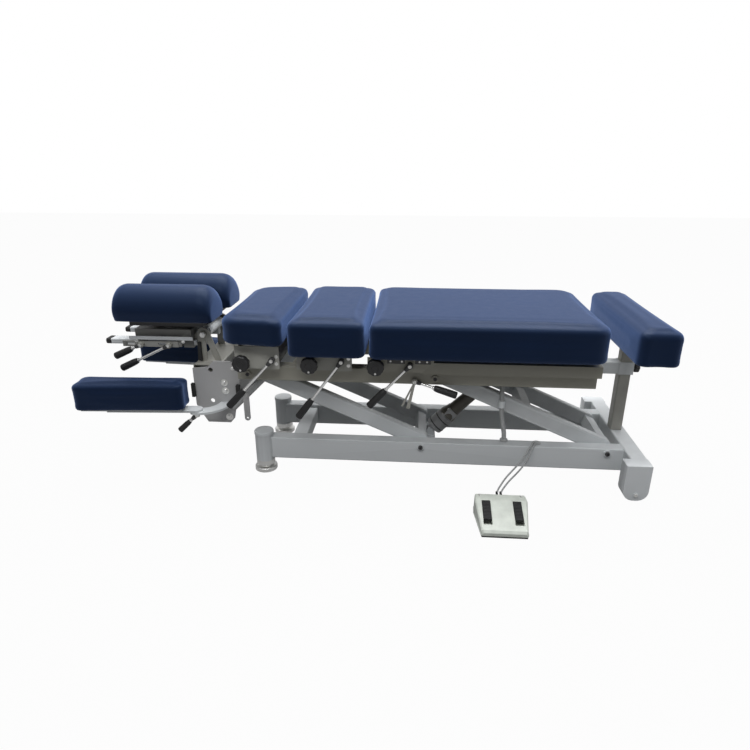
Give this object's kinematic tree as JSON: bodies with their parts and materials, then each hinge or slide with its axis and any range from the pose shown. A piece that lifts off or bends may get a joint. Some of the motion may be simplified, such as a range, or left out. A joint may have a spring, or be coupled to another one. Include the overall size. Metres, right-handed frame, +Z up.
{
  "type": "chiropractic table",
  "caption": "Padded treatment table on a powered parallelogram lift, with drop sections, a tilting headpiece, arm rests, an ankle rest and a foot pedal.",
  "frame": {"origin": "on the floor, midway between the head posts and the wheel axle", "axes": "+X from the head end to the foot end, +Y from the lever side to the far side, +Z up"},
  "size_m": [1.899, 0.796, 0.65],
  "materials": {
    "frame_paint": "light grey powder coat, satin",
    "chrome_steel": "bright plated",
    "dark_steel": "black satin paint",
    "navy_vinyl": "navy upholstery vinyl with a fine grain",
    "black_plastic": "moulded, satin",
    "pedal_plastic": "moulded, off-white",
    "rocker_plastic": "moulded, black",
    "board_wood": "dark stained plywood",
    "cord_grey": "smooth grey sheath",
    "black_rubber": "matt",
    "tyre_rubber": "matt",
    "motor_paint": "dark grey, satin"
  },
  "bodies": {
    "base": {"near_base_rail": "frame_paint", "far_base_rail": "frame_paint", "foot_beam": "frame_paint", "base_cross_members": "frame_paint", "levelling_feet": "frame_paint", "base_bolts": "dark_steel", "cable_glands": "black_rubber", "pedal_housing": "pedal_plastic", "left_pedal_cord": "cord_grey", "right_pedal_cord": "cord_grey", "lower_conduit": "cord_grey"},
    "near_wheel": {"near_wheel": "tyre_rubber"},
    "far_wheel": {"far_wheel": "tyre_rubber"},
    "foot_arms": {"foot_arms": "frame_paint"},
    "head_arms": {"head_arms": "frame_paint"},
    "actuator_motor": {"actuator_motor": "motor_paint"},
    "actuator_rod": {"actuator_rod": "chrome_steel"},
    "chassis": {"chassis_frame": "frame_paint", "chassis_bolts": "chrome_steel", "near_side_plate": "frame_paint", "far_side_plate": "frame_paint", "head_bracket": "frame_paint", "arm_bars": "frame_paint", "upper_chest_carrier": "frame_paint", "lower_chest_carrier": "frame_paint", "pelvic_subframe": "frame_paint", "upper_conduit": "cord_grey"},
    "hanging_link": {"hanging_link": "frame_paint"},
    "head_rails": {"head_rails": "dark_steel"},
    "head_carriage": {"head_carriage": "frame_paint"},
    "head_plate": {"head_plate": "dark_steel", "near_head_pad": "navy_vinyl", "far_head_pad": "navy_vinyl"},
    "carriage_lever": {"carriage_lever": "black_rubber"},
    "drop_lever": {"drop_lever": "black_rubber"},
    "near_arm": {"near_arm_strip": "frame_paint", "near_arm_cushion": "navy_vinyl"},
    "far_arm": {"far_arm_strip": "frame_paint", "far_arm_cushion": "navy_vinyl"},
    "near_clamp": {"near_clamp_lever": "black_rubber"},
    "far_clamp": {"far_clamp_lever": "black_rubber"},
    "upper_chest": {"upper_chest_board": "board_wood", "upper_chest_cushion": "navy_vinyl"},
    "lower_chest": {"lower_chest_board": "board_wood", "lower_chest_cushion": "navy_vinyl"},
    "pelvic": {"pelvic_board": "board_wood", "pelvic_cushion": "navy_vinyl"},
    "upper_chest_knob": {"upper_chest_knob": "black_plastic"},
    "lower_chest_knob": {"lower_chest_knob": "black_plastic"},
    "pelvic_knob": {"pelvic_knob": "black_plastic"},
    "upper_chest_lever": {"upper_chest_lever": "black_rubber"},
    "lower_chest_lever": {"lower_chest_lever": "black_rubber"},
    "pelvic_lever": {"pelvic_lever": "black_rubber"},
    "release_lever": {"release_lever": "black_rubber"},
    "ankle_bar": {"ankle_bar": "frame_paint"},
    "ankle_post": {"ankle_post": "frame_paint", "ankle_cushion": "navy_vinyl"},
    "ankle_knob": {"ankle_knob": "black_plastic"},
    "left_rocker": {"left_rocker": "rocker_plastic"},
    "right_rocker": {"right_rocker": "rocker_plastic"}
  },
  "joints": [
    {"name": "near_wheel_spin", "type": "hinge", "parent": "base", "child": "near_wheel", "pos_m": [0.62, -0.2595, 0.027], "axis": [0, 1, 0], "continuous": true},
    {"name": "far_wheel_spin", "type": "hinge", "parent": "base", "child": "far_wheel", "pos_m": [0.62, 0.2595, 0.027], "axis": [0, 1, 0], "continuous": true},
    {"name": "lift", "type": "hinge", "parent": "base", "child": "foot_arms", "pos_m": [0.552, 0, 0.113], "axis": [0, 1, 0], "range_deg": [0, 18]},
    {"name": "head_arms_lift", "type": "hinge", "parent": "base", "child": "head_arms", "pos_m": [-0.072, 0, 0.113], "axis": [0, 1, 0], "range_deg": [0, 18]},
    {"name": "chassis_level", "type": "hinge", "parent": "foot_arms", "child": "chassis", "pos_m": [-0.03121, 0, 0.36417], "axis": [0, 1, 0], "range_deg": [-18, 0]},
    {"name": "actuator_swing", "type": "hinge", "parent": "base", "child": "actuator_motor", "pos_m": [-0.036, 0, 0.1], "axis": [0, 1, 0], "range_deg": [-4.37, 0]},
    {"name": "actuator_stroke", "type": "slide", "parent": "actuator_motor", "child": "actuator_rod", "axis": [0.7061, 0, 0.7081], "range_m": [0, 0.1354]},
    {"name": "link_swing", "type": "hinge", "parent": "chassis", "child": "hanging_link", "pos_m": [-0.672, -0.1548, 0.28], "axis": [0, 1, 0], "range_deg": [-20, 20]},
    {"name": "head_tilt", "type": "hinge", "parent": "chassis", "child": "head_rails", "pos_m": [-0.82, 0, 0.478], "axis": [0, 1, 0], "range_deg": [-16, 8]},
    {"name": "head_slide", "type": "slide", "parent": "head_rails", "child": "head_carriage", "axis": [-1, 0, 0], "range_m": [0, 0.09]},
    {"name": "head_drop", "type": "slide", "parent": "head_carriage", "child": "head_plate", "axis": [0, 0, 1], "range_m": [0, 0.012]},
    {"name": "carriage_lever_turn", "type": "hinge", "parent": "head_carriage", "child": "carriage_lever", "pos_m": [-1.03, -0.128, 0.4455], "axis": [0, 1, 0], "range_deg": [0, 12]},
    {"name": "drop_lever_turn", "type": "hinge", "parent": "head_carriage", "child": "drop_lever", "pos_m": [-0.932, -0.128, 0.4455], "axis": [0, 1, 0], "range_deg": [-20, 0]},
    {"name": "near_arm_swing", "type": "hinge", "parent": "chassis", "child": "near_arm", "pos_m": [-0.824, -0.222, 0.249], "axis": [0, 0, 1], "range_deg": [0, 60]},
    {"name": "far_arm_swing", "type": "hinge", "parent": "chassis", "child": "far_arm", "pos_m": [-0.824, 0.222, 0.249], "axis": [0, 0, -1], "range_deg": [0, 60]},
    {"name": "near_clamp_turn", "type": "hinge", "parent": "near_arm", "child": "near_clamp", "pos_m": [-0.824, -0.222, 0.234], "axis": [0, 0, 1], "range_deg": [-40, 40]},
    {"name": "far_clamp_turn", "type": "hinge", "parent": "far_arm", "child": "far_clamp", "pos_m": [-0.824, 0.222, 0.234], "axis": [0, 0, 1], "range_deg": [-40, 40]},
    {"name": "upper_chest_drop", "type": "hinge", "parent": "chassis", "child": "upper_chest", "pos_m": [-0.668, 0, 0.469], "axis": [0, 1, 0], "range_deg": [-4, 0]},
    {"name": "lower_chest_drop", "type": "hinge", "parent": "chassis", "child": "lower_chest", "pos_m": [-0.314, 0, 0.441], "axis": [0, 1, 0], "range_deg": [0, 4]},
    {"name": "pelvic_drop", "type": "hinge", "parent": "chassis", "child": "pelvic", "pos_m": [0.466, 0, 0.441], "axis": [0, 1, 0], "range_deg": [0, 1.5]},
    {"name": "upper_chest_knob_turn", "type": "hinge", "parent": "chassis", "child": "upper_chest_knob", "pos_m": [-0.653, -0.225, 0.425], "axis": [0, 1, 0], "continuous": true},
    {"name": "lower_chest_knob_turn", "type": "hinge", "parent": "chassis", "child": "lower_chest_knob", "pos_m": [-0.433, -0.225, 0.425], "axis": [0, 1, 0], "continuous": true},
    {"name": "pelvic_knob_turn", "type": "hinge", "parent": "chassis", "child": "pelvic_knob", "pos_m": [-0.222, -0.225, 0.425], "axis": [0, 1, 0], "continuous": true},
    {"name": "upper_chest_lever_turn", "type": "hinge", "parent": "chassis", "child": "upper_chest_lever", "pos_m": [-0.559, -0.213, 0.43], "axis": [0, 1, 0], "range_deg": [0, 18]},
    {"name": "lower_chest_lever_turn", "type": "hinge", "parent": "chassis", "child": "lower_chest_lever", "pos_m": [-0.333, -0.213, 0.432], "axis": [0, 1, 0], "range_deg": [0, 18]},
    {"name": "pelvic_lever_turn", "type": "hinge", "parent": "chassis", "child": "pelvic_lever", "pos_m": [-0.114, -0.213, 0.424], "axis": [0, 1, 0], "range_deg": [0, 18]},
    {"name": "release_lever_turn", "type": "hinge", "parent": "chassis", "child": "release_lever", "pos_m": [-0.098, -0.174, 0.356], "axis": [0, 1, 0], "range_deg": [-8, 0]},
    {"name": "ankle_slide", "type": "slide", "parent": "chassis", "child": "ankle_bar", "axis": [1, 0, 0], "range_m": [-0.02, 0.1]},
    {"name": "ankle_rise", "type": "slide", "parent": "ankle_bar", "child": "ankle_post", "axis": [0, 0, 1], "range_m": [0, 0.1]},
    {"name": "ankle_knob_turn", "type": "hinge", "parent": "ankle_bar", "child": "ankle_knob", "pos_m": [0.668, 0, 0.365], "axis": [1, 0, 0], "continuous": true},
    {"name": "left_rocker_rock", "type": "hinge", "parent": "base", "child": "left_rocker", "pos_m": [0.131, -0.42453, 0.03859], "axis": [1, 0, 0], "range_deg": [-4, 4], "stiffness_Nm_per_rad": 1},
    {"name": "right_rocker_rock", "type": "hinge", "parent": "base", "child": "right_rocker", "pos_m": [0.225, -0.42453, 0.03859], "axis": [1, 0, 0], "range_deg": [-4, 4], "stiffness_Nm_per_rad": 1}
  ],
  "couplings": [
    {"joint": "head_arms_lift", "follows": "lift", "ratio": 1},
    {"joint": "chassis_level", "follows": "lift", "ratio": -1},
    {"joint": "actuator_swing", "follows": "lift", "ratio": -0.23973},
    {"joint": "actuator_stroke", "follows": "lift", "m_per_rad": 0.42925}
  ]
}
